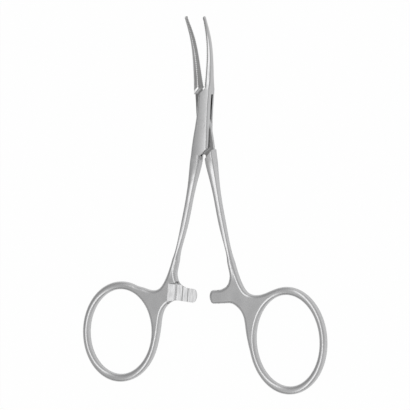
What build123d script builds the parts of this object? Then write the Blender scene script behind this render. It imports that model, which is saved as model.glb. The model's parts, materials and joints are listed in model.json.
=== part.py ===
"""Curved mosquito haemostatic forceps with a box lock, about 125 mm long.

The instrument lies on the back of its lock. X runs across the two rings, Y runs along the
instrument towards the jaws and Z points up, the way the jaws curve. The origin is on the
pivot axis, in the plane of the lock's back face.

Both halves are shaped as left halves in the closed position, with the pivot at the origin
and the middle plane of the instrument at Z = 0. One of them is then mirrored, and the two
are turned apart about the pivot into the half-open rest pose.
"""
from build123d import *

import os
from math import cos, degrees, radians, sin, sqrt, tan
from typing import NamedTuple

# Rest pose and fits
open_angle = 9.5  # between the halves at rest, and 0 when the jaws are shut
slide_clearance = 0.05  # between each side of the tongue and its wall of the box
pin_clearance = 0.04  # between the pin and the tongue's hole, on the radius
shoulder_gap = 0.3  # between the shoulders of the halves when shut, at the jaws
rear_shoulder_gap = 0.95  # the same on the ring side, below the front of the box
seam_gap = 0.12  # between the two jaws when shut

# Box lock
lock_thickness = 4.2
slot_height = 1.3  # between the front and back walls of the box
lock_front_y = 11.7  # where the shoulder line meets the middle, on the jaw side
lock_rear_y = -10.4  # where the shoulder line meets the middle, on the ring side
lock_front_width = 4.15  # both halves together, at the jaws
lock_waist_width = 4.8  # at the pivot
lock_rear_width = 6.3  # at the shanks
lock_edge_radius = 0.7
shoulder_bevel = 0.55  # across, on the jaw that passes through the box
shoulder_bevel_depth = 0.18
pin_radius = 1.3

# Jaws, measured along their curved middle line from the front of the lock
jaw_rise = 5.8  # degrees, slope of the straight root
jaw_root_length = 8.8
jaw_bend_radius = 26.0
jaw_bend = 27.2  # degrees, turned by the bend
jaw_length = 25.4
jaw_crown = 20.0  # degrees, by which front and back turn away from the gripping face
jaw_root_width = 1.8  # where the bend starts
jaw_root_depth = 2.5
jaw_root_rounding = 0.9
jaw_tip_width = 0.75
jaw_tip_depth = 1.1
jaw_tip_rounding = 0.36
jaw_tip_radius = 0.2
serration_pitch = 0.65
serration_depth = 0.22

# Shanks
shank_end_y = -46.0  # where the shank runs into the web of the ring
shank_end_x = -7.45  # its outer edge there
shank_end_width = 2.4
shank_depth = 2.3
shank_width = 1.85
shank_edge_radius = 0.45
shank_crown_radius = 4.0  # of its front and back

# Finger rings and their webs
handle_depth = 2.8
handle_edge_radius = 1.05
ring_side = 2.35  # thickness of the ring at its two sides
ring_end = 2.6  # thickness of the ring at its top and bottom
notch_x = -14.1  # lowest place of the web between ring and shank
notch_y = -57.45
web_x = -9.05  # inner side of the web below the ratchet arm

# Ratchet arms
arm_top_y = -55.15
arm_bottom_y = -59.7
arm_root_x = -5.35  # inner edge of the shank above the arm
arm_tip_x = 2.2
arm_tip_bulge = 0.8  # how far the rounded end stands out from its corners
tooth_count = 3
tooth_pitch = 2.0
tooth_height = 0.54
tooth_gap = 0.16  # between the crests of the two arms as they pass
last_tooth_length = 3.35
ramp_length = 2.65
ramp_fall = 0.65  # height lost along it
ramp_step = 0.3  # length of its steep end, down to the root of the first tooth

half_lock = lock_thickness / 2
half_seam = seam_gap / 2
half_handle = handle_depth / 2
tongue_height = slot_height - 2 * slide_clearance
overcut = 6.0  # how far a cutter stands out past what it cuts


class Ring(NamedTuple):
    """A finger ring of the closed instrument, seen as a left one."""

    opening_width: float
    opening_length: float
    lean: float  # degrees, its top towards the middle
    inner_x: float  # side of the ring nearest the middle
    top_y: float

    @property
    def centre(self):
        return (
            self.inner_x - ring_side - self.opening_width / 2,
            self.top_y - ring_end - self.opening_length / 2,
        )

    def outside(self, angle):
        """Point on the outside of the ring, which is an ellipse."""
        across = (self.opening_width / 2 + ring_side) * cos(radians(angle))
        along = (self.opening_length / 2 + ring_end) * sin(radians(angle))
        turn = radians(self.lean)
        return (
            self.centre[0] + across * cos(turn) + along * sin(turn),
            self.centre[1] - across * sin(turn) + along * cos(turn),
        )

    def heading(self, angle):
        """Direction of the outside at that point, going counter-clockwise."""
        ahead = self.outside(angle + 0.5)
        behind = self.outside(angle - 0.5)
        return (ahead[0] - behind[0], ahead[1] - behind[1])


left_ring = Ring(23.4, 28.8, 1.2, -10.6, -55.85)
right_ring = Ring(22.9, 30.2, -2.5, -10.95, -55.15)


def jaw_point(along):
    """Y, Z and slope in degrees of the jaw's middle line, at a length along it."""
    root = min(along, jaw_root_length)
    turned = min(max(degrees((along - root) / jaw_bend_radius), 0), jaw_bend)
    beyond = along - root - jaw_bend_radius * radians(turned)
    start = radians(jaw_rise)
    slope = radians(jaw_rise + turned)
    y = root * cos(start) + jaw_bend_radius * (sin(slope) - sin(start)) + beyond * cos(slope)
    z = root * sin(start) + jaw_bend_radius * (cos(start) - cos(slope)) + beyond * sin(slope)
    return lock_front_y + y, z, jaw_rise + turned


def jaw_plane(along):
    """Plane across the jaw, with its X pointing out from the gripping face."""
    y, z, slope = jaw_point(along)
    if along == 0:
        slope = 0  # the root stands square on the lock
    normal = (0, cos(radians(slope)), sin(radians(slope)))
    return Plane(origin=(half_seam, y, z), x_dir=(1, 0, 0), z_dir=normal)


def groove_plane(along):
    """Plane along the jaw, with its X towards the tip and its Y into the gripping face."""
    across = jaw_plane(along)
    return Plane(origin=across.origin, x_dir=across.z_dir, z_dir=across.y_dir)


def jaw_section(along, width, depth, rounding, crown):
    """Half-round section of a jaw, flat on its gripping side."""
    half = depth / 2
    flat = width - rounding * (1 - sin(radians(crown)))
    shoulder = half - flat * tan(radians(crown / 2))
    side = shoulder - rounding * cos(radians(crown))
    with BuildSketch(jaw_plane(along)) as section:
        with BuildLine():
            Line((0, -half), (0, half))
            if crown:
                TangentArc((0, half), (flat, shoulder), tangent=(1, 0))
                TangentArc((0, -half), (flat, -shoulder), tangent=(1, 0))
            else:
                Line((0, half), (flat, half))
                Line((0, -half), (flat, -half))
            RadiusArc((flat, shoulder), (width, side), rounding)
            RadiusArc((width, -side), (flat, -shoulder), rounding)
            Line((width, side), (width, -side))
        make_face()
    return section.sketch


def jaw(first_groove):
    """One jaw, to the right of the middle plane, with its row of cross serrations."""
    stations = [
        # length along the jaw, width, depth, rounding, crown
        (0, lock_front_width / 2 - half_seam, lock_thickness, lock_edge_radius, 0),
        (jaw_root_length * 0.4, jaw_root_width + 0.2, jaw_root_depth + 0.8, jaw_root_rounding, jaw_crown),
    ]
    tip_start = jaw_length - jaw_tip_radius
    for part in (0, 0.3, 0.65, 1):
        stations.append((
            jaw_root_length + part * (tip_start - jaw_root_length),
            jaw_root_width + part * (jaw_tip_width - jaw_root_width),
            jaw_root_depth + part * (jaw_tip_depth - jaw_root_depth),
            jaw_root_rounding + part * (jaw_tip_rounding - jaw_root_rounding),
            jaw_crown,
        ))
    tip_sections = []
    for turn in (0, 45, 90):  # degrees, round the end of the jaw
        inset = jaw_tip_radius * (1 - cos(radians(turn)))
        share = 1 - 2 * inset / jaw_tip_depth
        tip_sections.append(jaw_section(
            tip_start + jaw_tip_radius * sin(radians(turn)),
            jaw_tip_width - inset, jaw_tip_depth * share, jaw_tip_rounding * share, jaw_crown,
        ))
    groove_half = serration_pitch * 0.45
    grooves = int((jaw_length - jaw_tip_radius - first_groove) / serration_pitch)
    with BuildPart() as blade:
        loft([jaw_section(*station) for station in stations])
        loft(tip_sections, ruled=True)
        for index in range(grooves):
            with BuildSketch(groove_plane(first_groove + index * serration_pitch)):
                with BuildLine():
                    Polyline(
                        (-groove_half, -seam_gap),
                        (-groove_half, 0),
                        (0, serration_depth),
                        (groove_half, 0),
                        (groove_half, -seam_gap),
                        close=True,
                    )
                make_face()
        extrude(amount=half_lock, both=True, mode=Mode.SUBTRACT)
    return blade.part


def lock_block():
    """Solid of the lock, whose two shoulder lines rise to the right at 45 degrees."""
    front = lock_front_width / 2
    waist = lock_waist_width / 2
    rear = lock_rear_width / 2
    between = (waist + rear) / 2
    front_right = (front, lock_front_y)
    front_left = (-front, lock_front_y - front)
    rear_right = (between, lock_rear_y + between)
    rear_left = (-rear, lock_rear_y)
    ahead, back = (0, 1), (0, -1)
    with BuildPart() as block:
        with BuildSketch():
            with BuildLine():
                Spline(rear_left, (-waist, 0), front_left, tangents=(ahead, ahead))
                Polyline(front_left, (half_seam, lock_front_y), front_right)
                Spline(front_right, (waist, 0), rear_right, tangents=(back, back))
                Polyline(rear_right, (-half_seam, lock_rear_y), rear_left)
            make_face()
        extrude(amount=half_lock, both=True)
        sides = block.faces().filter_by(GeomType.PLANE, reverse=True)
        fillet(sides.edges().filter_by(Plane.XY), lock_edge_radius)
    return block.part


def shank_section(plane, width, depth, edge_radius, crown_radius):
    """Rounded section of a shank, whose front and back are crowned, or flat for a radius of 0."""
    centre_x = width / 2 - edge_radius  # of the rounding of the right edge
    if crown_radius:
        reach = crown_radius - edge_radius
        centre_y = depth / 2 - crown_radius + sqrt(reach**2 - centre_x**2)
        top_x = centre_x * crown_radius / reach
        top_y = centre_y + (centre_y - depth / 2 + crown_radius) * edge_radius / reach
    else:
        centre_y = depth / 2 - edge_radius
        top_x, top_y = centre_x, depth / 2
    with BuildSketch(plane) as section:
        with BuildLine():
            for end in (1, -1):
                left, right = (-top_x * end, top_y * end), (top_x * end, top_y * end)
                if crown_radius:
                    RadiusArc(left, right, crown_radius)
                else:
                    Line(left, right)
                RadiusArc(right, (width / 2 * end, centre_y * end), edge_radius)
                Line((width / 2 * end, centre_y * end), (width / 2 * end, -centre_y * end))
                RadiusArc((width / 2 * end, -centre_y * end), (right[0], -right[1]), edge_radius)
        make_face()
    return section.sketch


def shank(handle_end):
    """Left shank, from the lock down to the end face of its handle."""
    stations = [
        # share of the length, outer edge, width, depth, edge radius, crown radius
        (0, -lock_rear_width / 2, lock_rear_width / 2 - half_seam, lock_thickness, lock_edge_radius, 0),
        (0.1, -3.42, 3.15, lock_thickness - 0.3, 0.6, 2 * shank_crown_radius),
        (0.27, -3.7, shank_width + 0.55, shank_depth + 0.65, shank_edge_radius, shank_crown_radius),
        (0.5, -4.45, shank_width + 0.2, shank_depth + 0.2, shank_edge_radius, shank_crown_radius),
        (0.75, -5.6, shank_width, shank_depth, shank_edge_radius, shank_crown_radius),
    ]
    sections = []
    for share, outer_x, width, *shape in stations:
        middle = (outer_x + width / 2, lock_rear_y + share * (shank_end_y - lock_rear_y), 0)
        across = Plane(origin=middle, x_dir=(1, 0, 0), z_dir=(0, -1, 0))
        sections.append(shank_section(across, width, *shape))
    with BuildPart() as bar:
        loft([*sections, handle_end])
    return bar.part


def handle(ring):
    """Left finger ring with its web and ratchet arm, rounded all along its edges."""
    notch_angle, web_angle = 76, -16  # degrees, where the web leaves the ring above and below
    width, length, lean = ring.opening_width, ring.opening_length, ring.lean
    shank_inner_x = shank_end_x + shank_end_width
    arm_corner_x = arm_tip_x - arm_tip_bulge
    with BuildPart() as grip:
        with BuildSketch(Plane.XY.offset(-half_handle)):
            with BuildLine():
                EllipticalCenterArc(
                    ring.centre, width / 2 + ring_side, length / 2 + ring_end, notch_angle,
                    arc_size=360 + web_angle - notch_angle, rotation=-lean,
                )
                Spline(
                    ring.outside(web_angle),
                    (web_x - 1.0, arm_bottom_y - 9.3),
                    (web_x, arm_bottom_y - 3.3),
                    (web_x + 1.8, arm_bottom_y - 1.1),
                    (web_x + 4.6, arm_bottom_y),
                    tangents=(ring.heading(web_angle), (1, 0)),
                )
                Line((web_x + 4.6, arm_bottom_y), (arm_corner_x, arm_bottom_y))
                ThreePointArc(
                    (arm_corner_x, arm_bottom_y),
                    (arm_tip_x, (arm_top_y + arm_bottom_y) / 2),
                    (arm_corner_x, arm_top_y),
                )
                Line((arm_corner_x, arm_top_y), (arm_root_x + 4.5, arm_top_y))
                Spline(
                    (arm_root_x + 4.5, arm_top_y),
                    (arm_root_x + 2.25, arm_top_y + 0.5),
                    (arm_root_x + 0.75, arm_top_y + 1.55),
                    (arm_root_x, arm_top_y + 3.15),
                    (shank_inner_x, shank_end_y),
                    tangents=((-1, 0), (0.13, 1)),
                )
                Line((shank_inner_x, shank_end_y), (shank_end_x, shank_end_y))
                Spline(
                    (shank_end_x, shank_end_y),
                    (shank_end_x - 1.05, shank_end_y - 4.3),
                    (shank_end_x - 2.55, shank_end_y - 8.4),
                    (notch_x + 2.6, notch_y + 0.95),
                    (notch_x, notch_y),
                    (notch_x - 3.6, notch_y + 0.45),
                    ring.outside(notch_angle),
                    tangents=((-0.2, -1), ring.heading(notch_angle)),
                )
            make_face()
            with Locations(Location((*ring.centre, 0), (0, 0, -lean))):
                Ellipse(width / 2, length / 2, mode=Mode.SUBTRACT)
        extrude(amount=handle_depth)
        tip_corners = grip.edges().filter_by(Axis.Z).sort_by(Axis.X)[-2:]
        fillet(tip_corners, handle_edge_radius + 0.1)
        rims = grip.edges().filter_by(Plane.XY)
        joint = rims.filter_by(lambda edge: abs(edge.center().Y - shank_end_y) < 0.01)
        fillet(rims - joint, handle_edge_radius)
    return grip.part


def ratchet_cutter(side):
    """What is ground off a ratchet arm to leave its teeth, on the front (1) or the back (-1)."""
    crest = -tooth_gap / 2
    valley = crest - tooth_height
    above = half_handle + 1.0
    beyond = arm_tip_x + 1.0
    first_x = arm_tip_x - last_tooth_length - (tooth_count - 1) * tooth_pitch
    profile = [
        (first_x - ramp_length, above),
        (first_x - ramp_length, half_handle),
        (first_x - ramp_step, half_handle - ramp_fall),
        (first_x, valley),
    ]
    for index in range(tooth_count):
        root = first_x + index * tooth_pitch
        end = root + tooth_pitch if index < tooth_count - 1 else beyond
        profile += [(root, crest), (end, valley)]
    profile += [(beyond, above)]
    stations = [
        # Y, shift towards the tip, lift
        (arm_bottom_y - 2.5, 0, 0),
        (arm_top_y + 0.8, 0, 0),
        (arm_top_y + 3.4, 1.5, half_handle - valley),
    ]
    with BuildPart() as cutter:
        for y, shift, lift in stations:
            with BuildSketch(Plane(origin=(shift, y, lift * side), x_dir=(1, 0, 0), z_dir=(0, -1, 0))):
                with BuildLine():
                    Polyline([(x, z * side) for x, z in profile], close=True)
                make_face()
        loft(ruled=True)
    return cutter.part


def left_half(ring, side, first_groove):
    """Left half before its lock is cut: ring, shank, lock block and the right-hand jaw."""
    grip = handle(ring)
    with BuildPart() as half:
        add(grip)
        add(shank(grip.faces().sort_by(Axis.Y)[-1]))
        add(lock_block())
        add(jaw(first_groove))
        add(ratchet_cutter(side), mode=Mode.SUBTRACT)
    return half.part


# The strip across the lock, between shoulder lines that fall to the right, in which one
# half is slotted and the other is thinned to the tongue that passes through the slot
strip_front_y = lock_front_y + shoulder_gap * sqrt(2)


def strip(rear_gap):
    """Outline of that strip."""
    strip_rear_y = lock_rear_y - rear_gap * sqrt(2)
    return Polygon(
        (-overcut, strip_rear_y + overcut),
        (overcut, strip_rear_y - overcut),
        (overcut, strip_front_y - overcut),
        (-overcut, strip_front_y + overcut),
        align=None,
    )


with BuildPart() as box_blank:
    add(left_half(left_ring, 1, serration_pitch))
    with BuildSketch():
        strip(shoulder_gap)
    extrude(amount=slot_height / 2, both=True, mode=Mode.SUBTRACT)
    Cylinder(pin_radius, lock_thickness + overcut, mode=Mode.SUBTRACT)

# Across the front shoulder line, with its X into the jaw that stands beyond the line
shoulder_plane = Plane(origin=(0, strip_front_y, 0), x_dir=(1, 1, 0), z_dir=(1, -1, 0))

with BuildPart() as tongue_blank:
    add(left_half(right_ring, -1, serration_pitch * 1.5))
    for side in (1, -1):
        with BuildSketch(Plane.XY.offset(side * tongue_height / 2)):
            strip(rear_shoulder_gap)
        extrude(amount=side * half_lock, mode=Mode.SUBTRACT)
        with BuildSketch(shoulder_plane):
            Polygon(
                (-shoulder_bevel, side * (half_lock - 2 * shoulder_bevel_depth)),
                (3 * shoulder_bevel, side * (half_lock + 2 * shoulder_bevel_depth)),
                (-shoulder_bevel, side * (half_lock + 2 * shoulder_bevel_depth)),
                align=None,
            )
        extrude(amount=overcut, both=True, mode=Mode.SUBTRACT)
    Cylinder(pin_radius + pin_clearance, lock_thickness + overcut, mode=Mode.SUBTRACT)

os.makedirs("parts", exist_ok=True)

with BuildPart() as female_half:
    with Locations(Location((0, 0, half_lock), (0, 0, -open_angle / 2))):
        add(box_blank.part)
female_half.part.label = "female_half"
export_step(female_half.part, "parts/female_half.step")

with BuildPart() as male_half:
    with Locations(Location((0, 0, half_lock), (0, 0, open_angle / 2))):
        add(tongue_blank.part.mirror(Plane.YZ))
male_half.part.label = "male_half"
export_step(male_half.part, "parts/male_half.step")

with BuildPart() as pivot_pin:
    Cylinder(pin_radius, lock_thickness, align=(Align.CENTER, Align.CENTER, Align.MIN))
pivot_pin.part.label = "pivot_pin"
export_step(pivot_pin.part, "parts/pivot_pin.step")
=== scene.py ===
"""Curved mosquito haemostatic forceps in satin steel, dressed and lit for the camera.

The solids of the two halves and the pivot pin are the frame's own nodes. What is made here is
their finish, the floor, the lamp, the surroundings and the camera. Lengths in the finish are
millimetres, measured on a half that is turned back to the closed position and mirrored into a
left half.
"""
import json
from math import cos, degrees, radians, sin, tan

import bpy
from bpy.props import FloatProperty, FloatVectorProperty, PointerProperty
from mathutils import Matrix, Vector


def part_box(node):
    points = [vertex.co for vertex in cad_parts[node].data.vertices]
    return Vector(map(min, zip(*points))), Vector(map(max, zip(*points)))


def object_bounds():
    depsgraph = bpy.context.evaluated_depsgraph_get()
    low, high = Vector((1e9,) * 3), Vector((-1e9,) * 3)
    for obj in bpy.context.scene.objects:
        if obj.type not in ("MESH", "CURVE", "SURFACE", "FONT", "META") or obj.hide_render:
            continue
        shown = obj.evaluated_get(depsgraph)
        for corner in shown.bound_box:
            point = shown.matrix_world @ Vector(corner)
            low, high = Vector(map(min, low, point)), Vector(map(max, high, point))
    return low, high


bl_info = {
    "name": "Box-lock forceps",
    "version": (1, 0, 0),
    "blender": (4, 5, 0),
    "location": "3D View > Sidebar > Forceps",
    "description": "Finishes the steel of a pair of box-lock forceps and sets its stage",
    "category": "Object",
}

MM = 0.001
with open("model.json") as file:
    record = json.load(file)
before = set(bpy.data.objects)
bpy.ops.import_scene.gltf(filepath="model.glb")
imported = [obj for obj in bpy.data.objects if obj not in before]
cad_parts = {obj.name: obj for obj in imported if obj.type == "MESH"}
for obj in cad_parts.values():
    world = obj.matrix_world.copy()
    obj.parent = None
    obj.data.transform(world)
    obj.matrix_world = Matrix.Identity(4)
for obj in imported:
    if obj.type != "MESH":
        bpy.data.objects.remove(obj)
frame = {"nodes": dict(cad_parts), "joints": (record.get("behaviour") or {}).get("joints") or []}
cad_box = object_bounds()
shut_angle = frame["joints"][0]["range_deg"][0]  # degrees from the rest pose to the shut jaws
middle_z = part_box("pivot_pin")[1].z / 2 / MM  # of the lock's middle plane, in millimetres


class ForcepsSteel(bpy.types.PropertyGroup):
    """Finish of the satin steel, with the colours of its painted shade and painted highlights."""

    colour: FloatVectorProperty(
        name="Steel", description="Reflected colour of the satin steel",
        subtype="COLOR", default=(0.66, 0.66, 0.665), min=0, max=1,
    )
    ground_colour: FloatVectorProperty(
        name="Ground steel", description="Reflected colour of the freshly ground ratchet faces",
        subtype="COLOR", default=(0.68, 0.68, 0.685), min=0, max=1,
    )
    # Colour painted as a highlight on the serration ridges and the shoulder's bevel
    painted_highlight_colour: FloatVectorProperty(
        name="Painted highlights", description="Colour of the painted highlights on the serration ridges and the shoulder's bevel",
        subtype="COLOR", default=(0.95, 0.95, 0.95), min=0, max=1,
    )
    # Colour of the painted shade on the tongue and in its slot
    slot_shade_colour: FloatVectorProperty(
        name="Painted slot shade", description="Colour of the painted shade on the tongue and the walls of its slot",
        subtype="COLOR", default=(0.34, 0.34, 0.34), min=0, max=1,
    )
    # Colour of the painted shade on the gripping faces
    grip_shade_colour: FloatVectorProperty(
        name="Painted grip shade", description="Colour of the painted shade on the serrated gripping faces of the jaws",
        subtype="COLOR", default=(0.38, 0.38, 0.38), min=0, max=1,
    )
    # Colour of the painted shade in corners, serration grooves and tooth roots
    painted_shade_colour: FloatVectorProperty(
        name="Painted shade", description="Colour of the painted shade in corners, slots, serration grooves and tooth roots",
        subtype="COLOR", default=(0.2, 0.2, 0.2), min=0, max=1,
    )
    roughness: FloatProperty(
        name="Roughness", description="Roughness of the satin finish",
        default=0.24, min=0, max=1,
    )
    roughness_spread: FloatProperty(
        name="Roughness spread", description="How far the roughness varies from place to place",
        default=0.1, min=0, max=1,
    )
    mottle: FloatProperty(
        name="Mottling", description="Share by which soft patches lighten and darken the steel",
        default=0.1, min=0, max=1,
    )
    grain_pitch: FloatProperty(
        name="Grain pitch", description="Spacing of the brushing lines",
        default=0.09 * MM, subtype="DISTANCE", unit="LENGTH", precision=6,
    )
    grain_depth: FloatProperty(
        name="Grain depth", description="Depth of the brushing lines",
        default=0.0016 * MM, subtype="DISTANCE", unit="LENGTH", precision=7,
    )
    wheel_depth: FloatProperty(
        name="Wheel mark depth", description="Depth of the grinding wheel's marks on the ratchet",
        default=0.002 * MM, subtype="DISTANCE", unit="LENGTH", precision=6,
    )
    ripple_depth: FloatProperty(
        name="Ripple depth", description="Depth of the slow unevenness that hand polishing leaves",
        default=0.12 * MM, subtype="DISTANCE", unit="LENGTH", precision=6,
    )
    edge_softness: FloatProperty(
        name="Edge softness", description="Radius to which tumbling has worn the sharp edges",
        default=0.12 * MM, subtype="DISTANCE", unit="LENGTH", precision=6,
    )
    crown: FloatProperty(
        name="Lock crown", description="Radius of the slight crown of the lock's front face",
        default=24 * MM, subtype="DISTANCE", unit="LENGTH", precision=4,
    )
    shank_lean: FloatProperty(
        name="Shank lean", description="How far polishing has leant a shank's crown to the right",
        default=radians(7), subtype="ANGLE", unit="ROTATION",
    )


class ForcepsStage(bpy.types.PropertyGroup):
    """Floor, lamp, surroundings and camera."""

    floor_colour: FloatVectorProperty(
        name="Floor", description="Colour of the floor",
        subtype="COLOR", default=(0.9, 0.9, 0.9), min=0, max=1,
    )
    floor_whiteness: FloatProperty(
        name="Floor whiteness", description="Share of plain white in what the camera sees of it",
        default=0.98, min=0, max=1,
    )
    floor_reflected: FloatProperty(
        name="Floor in reflections", description="Share of plain white in its mirror image",
        default=0.42, min=0, max=1,
    )
    floor_reach: FloatProperty(
        name="Floor reach", description="From the forceps to the sides of the floor",
        default=1.5, min=0, subtype="DISTANCE", unit="LENGTH",
    )
    strip_power: FloatProperty(
        name="Strip lamp", description="Power of the long lamp overhead",
        default=3, min=0, unit="POWER",
    )
    strip_width: FloatProperty(
        name="Strip width", description="Width of the long lamp",
        default=0.45, min=0, subtype="DISTANCE", unit="LENGTH",
    )
    strip_length: FloatProperty(
        name="Strip length", description="Length of the long lamp",
        default=3, min=0, subtype="DISTANCE", unit="LENGTH",
    )
    strip_height: FloatProperty(
        name="Strip height", description="How far above the forceps the long lamp hangs",
        default=1.5, min=0, subtype="DISTANCE", unit="LENGTH",
    )
    strip_shift: FloatProperty(
        name="Strip shift", description="How far right of the forceps the long lamp hangs",
        default=-0.05, subtype="DISTANCE", unit="LENGTH",
    )
    strip_glow: FloatProperty(
        name="Strip glow", description="Brightness added by the diffuser beside the long lamp",
        default=0.45, min=0,
    )
    window_glow: FloatProperty(
        name="Window glow", description="Brightness added by the pale wall low on the right",
        default=0.26, min=0,
    )
    foot_glow: FloatProperty(
        name="Foot glow", description="Brightness added by the pale wall beyond the finger rings",
        default=0.2, min=0,
    )
    sky: FloatProperty(
        name="Sky", description="Brightness of the surroundings", default=0.5, min=0,
    )
    sky_tilt: FloatProperty(
        name="Sky tilt", description="How much brighter they are to the right than overhead",
        default=0.16, min=-1, max=1,
    )
    sky_rise: FloatProperty(
        name="Sky rise", description="How much brighter they are beyond the jaws than overhead",
        default=0.15, min=-1, max=1,
    )
    aim: FloatVectorProperty(
        name="Aim", description="Point that the camera looks at",
        default=(0.47 * MM, -26.86 * MM, 2.1 * MM), subtype="TRANSLATION", unit="LENGTH",
    )
    bearing: FloatProperty(
        name="Bearing", description="How far the camera stands to the right of straight above",
        default=radians(25), subtype="ANGLE", unit="ROTATION",
    )
    elevation: FloatProperty(
        name="Elevation", description="How far the camera stands towards the jaws",
        default=radians(3.74), subtype="ANGLE", unit="ROTATION",
    )
    roll: FloatProperty(
        name="Roll", description="Turn of the picture about its middle",
        default=radians(0.22), subtype="ANGLE", unit="ROTATION",
    )
    distance: FloatProperty(
        name="Distance", description="From the camera to its aim",
        default=977.2 * MM, subtype="DISTANCE", unit="LENGTH",
    )
    lens: FloatProperty(
        name="Lens", description="Focal length for a sensor 36 mm wide",
        default=258.8, unit="CAMERA",
    )


class Value:
    """A number inside a shader. Sums, products and the like on it add Math nodes."""

    def __init__(self, shader, socket):
        self.shader = shader
        self.socket = socket

    def math(self, operation, *others):
        values = (self, *others)
        return self.shader.node("Math", {"operation": operation}, dict(enumerate(values)))

    def __add__(self, other):
        return self.math("ADD", other)

    __radd__ = __add__

    def __sub__(self, other):
        return self.math("SUBTRACT", other)

    def __rsub__(self, other):
        return self * -1 + other

    def __mul__(self, other):
        return self.math("MULTIPLY", other)

    __rmul__ = __mul__

    def __truediv__(self, other):
        return self.math("DIVIDE", other)

    def __pow__(self, other):
        return self.math("POWER", other)

    def ramp(self, start, end):
        """start where this is 0 and end where it is 1."""
        return self * (end - start) + start

    def rise(self, start, end):
        """0 up to start and 1 from end on, with a smooth step between them."""
        settings = {"interpolation_type": "SMOOTHSTEP"}
        inputs = {"Value": self, "From Min": min(start, end), "From Max": max(start, end)}
        step = self.shader.node("MapRange", settings, inputs)
        return step if start < end else 1 - step

    def between(self, start, end, soft):
        """1 between start and end, fading over a width of soft outside them."""
        return self.rise(start - soft, start) * self.rise(end + soft, end)


class Shader:
    """The node tree of a material or the world."""

    def __init__(self, owner):
        owner.use_nodes = True
        self.tree = owner.node_tree
        self.tree.nodes.clear()

    def node(self, kind, settings=None, inputs=None, output=0):
        """Adds a node, sets it up and returns one of its outputs."""
        node = self.tree.nodes.new("ShaderNode" + kind)
        for name, setting in (settings or {}).items():
            setattr(node, name, setting)
        for name, value in (inputs or {}).items():
            socket = node.inputs[name]
            if isinstance(value, Value):
                self.tree.links.new(value.socket, socket)
            else:
                socket.default_value = value
        return Value(self, node.outputs[output])

    def scale(self, vector, factor):
        return self.node("VectorMath", {"operation": "SCALE"}, {0: vector, "Scale": factor})

    def blend(self, share, low, high):
        """Colour low where share is 0 and high where it is 1."""
        settings = {"data_type": "RGBA", "clamp_factor": True}
        return self.node("Mix", settings, {0: share, 6: low, 7: high}, output=2)

    def split(self, vector):
        return [self.node("SeparateXYZ", inputs={0: vector}, output=axis) for axis in range(3)]

    def join(self, x, y, z):
        return self.node("CombineXYZ", inputs={0: x, 1: y, 2: z})

    def noise(self, vector, scale, detail, roughness=0.5):
        inputs = {"Vector": vector, "Scale": scale, "Detail": detail, "Roughness": roughness}
        return self.node("TexNoise", inputs=inputs)

    def end(self, surface, kind="OutputMaterial"):
        self.tree.links.new(surface.socket, self.tree.nodes.new("ShaderNode" + kind).inputs[0])


def opaque(colour):
    return (*colour, 1)


# Places on a half, in millimetres, seen as a left half in the closed position
lock_span = (-10.4, 11.7)  # Y at its two ends
lock_crest_x = -1.3  # where the crown of the lock's front face stands highest
slot_span = (-11.9, 11.7)  # X + Y at its two ends
bevel_span = (12.1, 12.95)  # X + Y at the two sides of the male half's shoulder bevel
arm_span_x, arm_span_y = (-7.8, 3.2), (-60.5, -54)  # of the ratchet arm
first_tooth_x = -5.15
tooth_pitch = 2
roots_span = (-4.15, 0)  # X from before the first root between two teeth to beyond the last
ring_centres = {"female_half": (-24.65, -72.85), "male_half": (-24.75, -72.85)}
ring_radius = 13  # rounded, and the same for both, since it only stretches the brushing lines
shank_ends = ((-1.6, -10.4), (-6.25, -46))  # X and Y of its middle line, which bows between them
shank_bow = 0.5
shank_half_width = 0.92  # of its front, between the rounded edges
shank_widening = 0.7  # added to that at the lock

# The jaw's middle line, seen from the side: a straight root, then a bend
jaw_start = 11.7
jaw_root = 8.8
jaw_rise = radians(5.8)  # slope of the root
jaw_bend_radius = 26
serration_pitch = 0.65
first_serrations = {"female_half": 0.65, "male_half": 0.975}

# Fades: where a mask is 0 and where it is 1, along Y unless the line says otherwise
web_fade = (-66, -50)  # brushing turns from round the ring to along the shank
jaw_fade = (11.7, 12.3)
bevel_fade = (9.6, 9.8)
flank_fade = (5, 3)  # the part of the tongue's flank that lies open, kept out of the painted slot shade
slot_fade = (0.7, 0.6)  # height off the middle plane, of the slot's walls
mate_fade = (-1.2, -0.7)  # height from the middle plane towards the other arm, of ground steel
root_fade = (0.35, 0.12)  # X away from a tooth's root
step_fade = (-4.55, -4.85)  # X, of the steep wall before the first tooth
serrated_fade = (0.6, 0.3)  # X, of the part of a jaw's front that the grooves reach
widening_fade = (-24, -10.4)  # the shank widens towards the lock
low_fade = (-34, -44)  # the low end of the shank
lean_starts = {"female_half": (-14, -22), "male_half": (-9.5, -17.5)}  # of the shank's crown
lean_end = (-53, -48)  # in the web
left_fade, right_fade = (-0.5, -0.75), (0.4, 0.7)  # X of the face's normal
front_fade = (0.5, 0.8)  # Z of the face's normal


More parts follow.
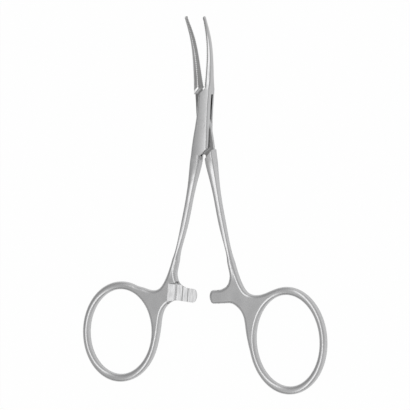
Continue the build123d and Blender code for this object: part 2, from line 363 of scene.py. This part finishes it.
class Spot:
    """Any point of a half: where it is and which way its face looks."""

    def __init__(self, shader, node):
        self.shader = shader
        self.node = node
        self.side = -1 if node == "male_half" else 1
        place = shader.scale(shader.node("TexCoord", output="Object"), 1 / MM)
        self.x, self.y, self.z = self.as_left(place)
        self.place = shader.join(self.x, self.y, self.z)
        self.off_middle = self.z - middle_z
        self.facing_x, _, self.facing_z = self.as_left(shader.node("TexCoord", output="Normal"))
        self.on_jaw = self.y.rise(*jaw_fade)

    def as_left(self, vector):
        """X, Y and Z of a vector, turned to the closed position and mirrored into a left half."""
        inputs = {"Vector": vector, "Angle": radians(-shut_angle / 2) * self.side}
        turned = self.shader.node("VectorRotate", {"rotation_type": "Z_AXIS"}, inputs)
        x, y, z = self.shader.split(turned)
        return x * self.side, y, z

    def brushing(self, pitch):
        """Lines long in the direction of the polishing belt and fine across it, from 0 to 1."""
        length = pitch * 30
        straight = self.shader.join(self.x / pitch, self.y / length, self.z / pitch)
        ring_x, ring_y = ring_centres[self.node]
        from_x, from_y = self.x - ring_x, self.y - ring_y
        radius = (from_x * from_x + from_y * from_y) ** 0.5
        turned = from_y.math("ARCTAN2", from_x) * ring_radius
        round_ring = self.shader.join(radius / pitch, turned / length, self.z / pitch)
        inputs = {0: self.y.rise(*web_fade), 4: round_ring, 5: straight}
        lines = self.shader.node("Mix", {"data_type": "VECTOR"}, inputs, output=1)
        return self.shader.noise(lines, 1, detail=2)

    def grooves(self):
        """1 in the serrations and 0 on the ridges between them, measured along the bent jaw."""
        ahead = self.y - jaw_start
        root_reach = jaw_root * cos(jaw_rise)
        beyond = (ahead - root_reach).math("MAXIMUM", 0)
        turned = (beyond / jaw_bend_radius + sin(jaw_rise)).math("ARCSINE") - jaw_rise
        along = ahead.math("MINIMUM", root_reach) / cos(jaw_rise) + turned * jaw_bend_radius
        count = (along - first_serrations[self.node]) / serration_pitch
        return (count * radians(360)).math("COSINE").rise(-0.5, 0.5)

    def lock_crown(self, radius):
        """Height of the crown of the lock's front face."""
        on_lock = self.y.between(*lock_span, 1.5) * self.off_middle.rise(0, 1)
        off_crest = self.x - lock_crest_x
        return off_crest * off_crest * (-0.5 / radius) * on_lock

    def shank_lean(self, slope):
        """Height that leans the crown of a shank's front, the more at its low end."""
        (top_x, top_y), (low_x, low_y) = shank_ends
        share = (self.y - top_y) / (low_y - top_y)
        middle_x = share.ramp(top_x, low_x) + share * (1 - share) * 4 * shank_bow
        low = self.y.rise(*low_fade)
        half_width = self.y.rise(*widening_fade) * shank_widening + shank_half_width
        reach = half_width * low.ramp(0.8, 1.05)
        off_centre = (self.x - middle_x) * self.side - half_width * low.ramp(0.35, -0.2)
        across = (off_centre / reach).math("MINIMUM", 1).math("MAXIMUM", -1)
        leant = self.y.rise(*lean_starts[self.node]) * self.y.rise(*lean_end)
        leant = leant * self.off_middle.rise(0, 0.5) * low.ramp(1, 1.5)
        return (across ** 3 / 3 - across) * reach * leant * slope

    def jaw_wear(self):
        """Height lost along the worn front edge of a jaw."""
        to_edge = (0.7 - self.x).math("MAXIMUM", 0) * self.on_jaw
        return to_edge * to_edge * -0.4


def steel_finish(name, node):
    """Satin steel for one half, brushed along its shank and jaw and round its ring, with painted
    shade and highlights.
    """
    steel = bpy.context.scene.forceps_steel
    material = bpy.data.materials.new(name)
    shader = Shader(material)
    spot = Spot(shader, node)
    x, y = spot.x, spot.y
    looks_left = spot.facing_x.rise(*left_fade)

    # The ratchet, ground along the roots of its teeth, with painted shade at the roots, and the
    # shoulder's bevel, which gets a painted highlight
    on_arm = x.between(*arm_span_x, 0.4) * y.between(*arm_span_y, 0.8)
    on_ratchet = on_arm * (spot.off_middle * spot.side).rise(*mate_fade)
    bevelled = 0
    if node == "male_half":
        bevelled = (x + y).between(*bevel_span, 0.08) * y.rise(*bevel_fade)
        bevelled = bevelled * spot.facing_z.rise(*front_fade)
    ground = on_ratchet.math("MAXIMUM", bevelled)
    off_root = (x - first_tooth_x).math("WRAP", tooth_pitch / 2, -tooth_pitch / 2).math("ABSOLUTE")
    tooth_root = on_ratchet * off_root.rise(*root_fade) * x.between(*roots_span, 0.4)
    step_wall = on_arm * x.rise(*step_fade) * spot.facing_x.rise(*right_fade)

    # The slot and its tongue, where they don't lie open, and the gripping faces, which get painted
    # shade, and their serrations, with painted shade in the grooves and a painted highlight on the
    # ridges
    open_flank = looks_left * y.rise(*flank_fade)
    shaded_slot = (x + y).between(*slot_span, 0.3) * spot.off_middle.math("ABSOLUTE").rise(*slot_fade)
    shaded_slot = shaded_slot * (1 - open_flank)
    on_grip = spot.on_jaw * looks_left
    groove = spot.grooves()
    serrated = spot.on_jaw * x.rise(*serrated_fade) * (1 - on_grip * 0.6)

    # Textures
    grain = spot.brushing(steel.grain_pitch / MM)
    wheel_marks = shader.noise(shader.join(x / 0.25, y / 3, spot.z), 1, detail=2)
    patches = shader.noise(spot.place, 0.35, detail=4, roughness=0.6)
    specks = shader.noise(spot.place, 4, detail=2)
    ripple = shader.noise(spot.place, 0.12, detail=1)

    # Painted shade in the corners, from ambient occlusion, but less where they are ground, on the
    # open flank and on the wall before the first tooth
    shadow = shader.node("AmbientOcclusion", {"samples": 8}, {"Distance": 0.9 * MM}, output="AO")
    corner_shade = shadow.rise(0.75, 0.2) * (1 - open_flank * 0.6) * (1 - ground * 0.7)
    corner_shade = corner_shade * (1 - step_wall)

    colour = opaque(steel.colour)
    layers = (
        (ground * 0.8, steel.ground_colour),
        # Painted shade on the tongue and the walls of its slot
        (shaded_slot, steel.slot_shade_colour),
        # Painted shade on the gripping faces
        (on_grip, steel.grip_shade_colour),
        # Painted shade in the serration grooves
        (serrated * groove * 0.9, steel.painted_shade_colour),
        # Painted highlight on the ridges between the serrations
        (serrated * (1 - on_grip) * (1 - groove) * 0.8, steel.painted_highlight_colour),
        # Painted shade at the roots of the ratchet teeth
        (tooth_root * 0.9, steel.painted_shade_colour),
        # Painted highlight on the shoulder's bevel
        (bevelled, steel.painted_highlight_colour),
    )
    for share, layer in layers:
        colour = shader.blend(share, colour, opaque(layer))
    lightness = 1 + (patches - 0.5) * steel.mottle + (specks - 0.5) * steel.mottle * 0.4
    lightness = lightness + (wheel_marks - 0.5) * ground * 0.9
    # Painted shade darkens the colour in the corners
    colour = shader.blend(corner_shade, shader.scale(colour, lightness), opaque(steel.painted_shade_colour))
    roughness = steel.roughness + (patches + grain - 1) * steel.roughness_spread + ground * 0.1

    marks = grain * (steel.grain_depth / MM) * (1 - ground)
    marks = marks + wheel_marks * (steel.wheel_depth / MM) * ground
    height = marks + ripple * (steel.ripple_depth / MM) - spot.z * step_wall * 1.5
    height = height + spot.lock_crown(steel.crown / MM) + spot.jaw_wear()
    height = (height + spot.shank_lean(tan(steel.shank_lean))) * MM
    soft_normal = shader.node("Bevel", {"samples": 6}, {"Radius": steel.edge_softness})
    normal = shader.node(
        "Bump", inputs={"Strength": 1, "Distance": 1, "Height": height, "Normal": soft_normal},
    )
    shader.end(shader.node("BsdfPrincipled", inputs={
        "Base Color": colour, "Metallic": 1, "Roughness": roughness, "Normal": normal,
    }))
    return material


def dress(node, material):
    """Gives a node of the frame its finish."""
    slots = frame["nodes"][node].data.materials
    slots.clear()
    slots.append(material)


class FORCEPS_OT_halves(bpy.types.Operator):
    """Finishes the two halves in satin steel"""

    bl_idname = "forceps.halves"
    bl_label = "Finish the halves"

    def execute(self, context):
        for node in ("female_half", "male_half"):
            dress(node, steel_finish(node + "_steel", node))
        return {"FINISHED"}


class FORCEPS_OT_pin(bpy.types.Operator):
    """Finishes the flush ends of the pivot pin as part of the lock around them"""

    bl_idname = "forceps.pin"
    bl_label = "Finish the pivot pin"

    def execute(self, context):
        dress("pivot_pin", steel_finish("pivot_pin_steel", "female_half"))
        return {"FINISHED"}


def floor_finish(stage):
    """Pale floor that the camera sees as white, with a faint shadow."""
    material = bpy.data.materials.new("floor_paper")
    shader = Shader(material)
    camera_ray = shader.node("LightPath", output="Is Camera Ray")
    glossy_ray = shader.node("LightPath", output="Is Glossy Ray")
    seen = camera_ray * stage.floor_whiteness + glossy_ray * stage.floor_reflected
    paper = shader.node("BsdfDiffuse", inputs={"Color": opaque(stage.floor_colour)})
    white = shader.node("Emission", inputs={"Color": (1, 1, 1, 1), "Strength": 1})
    shader.end(shader.node("MixShader", inputs={0: seen, 1: paper, 2: white}))
    return material


# Bright fields of the surroundings: the angles in degrees at which each fades in at its two
# sides, from straight above towards the right, and for the foot towards the jaw tips
diffuser_sides = ((-38, -12), (24, 6))
window_sides = ((50, 95), (175, 130))
foot_sides = ((-85, -55), (-4, -20))


def sky_finish(stage):
    """Even surroundings, a little brighter to the right and beyond the jaws, with three fields."""
    world = bpy.data.worlds.new("studio")
    shader = Shader(world)
    x, y, z = shader.split(shader.node("TexCoord", output="Generated"))
    to_right = x.math("ARCTAN2", z) * degrees(1)
    to_jaws = y.math("ARCTAN2", z) * degrees(1)
    brightness = stage.sky + x.math("MAXIMUM", -0.4) * stage.sky_tilt + y * stage.sky_rise
    fields = (
        (to_right, diffuser_sides, stage.strip_glow),
        (to_right, window_sides, stage.window_glow),
        (to_jaws, foot_sides, stage.foot_glow),
    )
    for angle, (one_side, other_side), glow in fields:
        brightness = brightness + angle.rise(*one_side) * angle.rise(*other_side) * glow
    shader.end(shader.node("Background", inputs={"Strength": brightness}), "OutputWorld")
    return world


def area_lamp(name, place, aim, size, power):
    """A flat lamp at a place, facing its aim, with its long side along Y."""
    lamp = bpy.data.lights.new(name, "AREA")
    lamp.shape = "RECTANGLE"
    lamp.size, lamp.size_y = size
    lamp.energy = power
    piece = bpy.data.objects.new(name, lamp)
    bpy.context.scene.collection.objects.link(piece)
    back = (place - aim).normalized()
    across = Vector((0, 1, 0)).cross(back).normalized()
    turn = Matrix((across, back.cross(across), back)).transposed().to_4x4()
    piece.matrix_world = Matrix.Translation(place) @ turn


class FORCEPS_OT_stage(bpy.types.Operator):
    """Lays the floor, hangs the lamp and sets up the surroundings and the camera"""

    bl_idname = "forceps.stage"
    bl_label = "Set the stage"

    def execute(self, context):
        stage = context.scene.forceps_stage
        aim = Vector(stage.aim)
        self.lay_floor(context, stage)
        place = aim + Vector((stage.strip_shift, 0, stage.strip_height))
        size = (stage.strip_width, stage.strip_length)
        area_lamp("strip_lamp", place, aim, size, stage.strip_power)
        context.scene.world = sky_finish(stage)
        self.set_camera(context, stage, aim)
        context.scene.view_settings.view_transform = "Standard"
        return {"FINISHED"}

    def lay_floor(self, context, stage):
        mesh = bpy.data.meshes.new("floor")
        reach = stage.floor_reach
        level = cad_box[0][2] - 0.05 * MM
        outline = [(x * reach, y * reach, level) for x, y in ((-1, -1), (1, -1), (1, 1), (-1, 1))]
        mesh.from_pydata(outline, [], [(0, 1, 2, 3)])
        mesh.materials.append(floor_finish(stage))
        floor = bpy.data.objects.new("floor", mesh)
        context.scene.collection.objects.link(floor)

    def set_camera(self, context, stage, aim):
        camera = bpy.data.objects.new("camera", bpy.data.cameras.new("camera"))
        camera.data.sensor_width = 36
        camera.data.lens = stage.lens
        camera.data.clip_start = 0.05
        turn = Matrix.Rotation(stage.bearing, 4, "Y") @ Matrix.Rotation(-stage.elevation, 4, "X")
        turn = turn @ Matrix.Rotation(stage.roll, 4, "Z")
        back = turn @ Vector((0, 0, 1))
        camera.matrix_world = Matrix.Translation(aim + back * stage.distance) @ turn
        context.scene.collection.objects.link(camera)
        context.scene.camera = camera


class FORCEPS_PT_panel(bpy.types.Panel):
    """Sizes, colours and steps of the forceps"""

    bl_idname = "FORCEPS_PT_panel"
    bl_label = "Forceps"
    bl_space_type = "VIEW_3D"
    bl_region_type = "UI"
    bl_category = "Forceps"

    def draw(self, context):
        for settings in (context.scene.forceps_steel, context.scene.forceps_stage):
            for name in settings.__annotations__:
                self.layout.prop(settings, name)
        for step in steps:
            self.layout.operator(step.bl_idname)


steps = (FORCEPS_OT_halves, FORCEPS_OT_pin, FORCEPS_OT_stage)
classes = (ForcepsSteel, ForcepsStage, *steps, FORCEPS_PT_panel)


def register():
    for each in classes:
        bpy.utils.register_class(each)
    bpy.types.Scene.forceps_steel = PointerProperty(type=ForcepsSteel)
    bpy.types.Scene.forceps_stage = PointerProperty(type=ForcepsStage)


def unregister():
    del bpy.types.Scene.forceps_stage
    del bpy.types.Scene.forceps_steel
    for each in reversed(classes):
        bpy.utils.unregister_class(each)


def main():
    register()
    bpy.ops.forceps.halves()
    bpy.ops.forceps.pin()
    bpy.ops.forceps.stage()


if __name__ == "__main__":
    main()
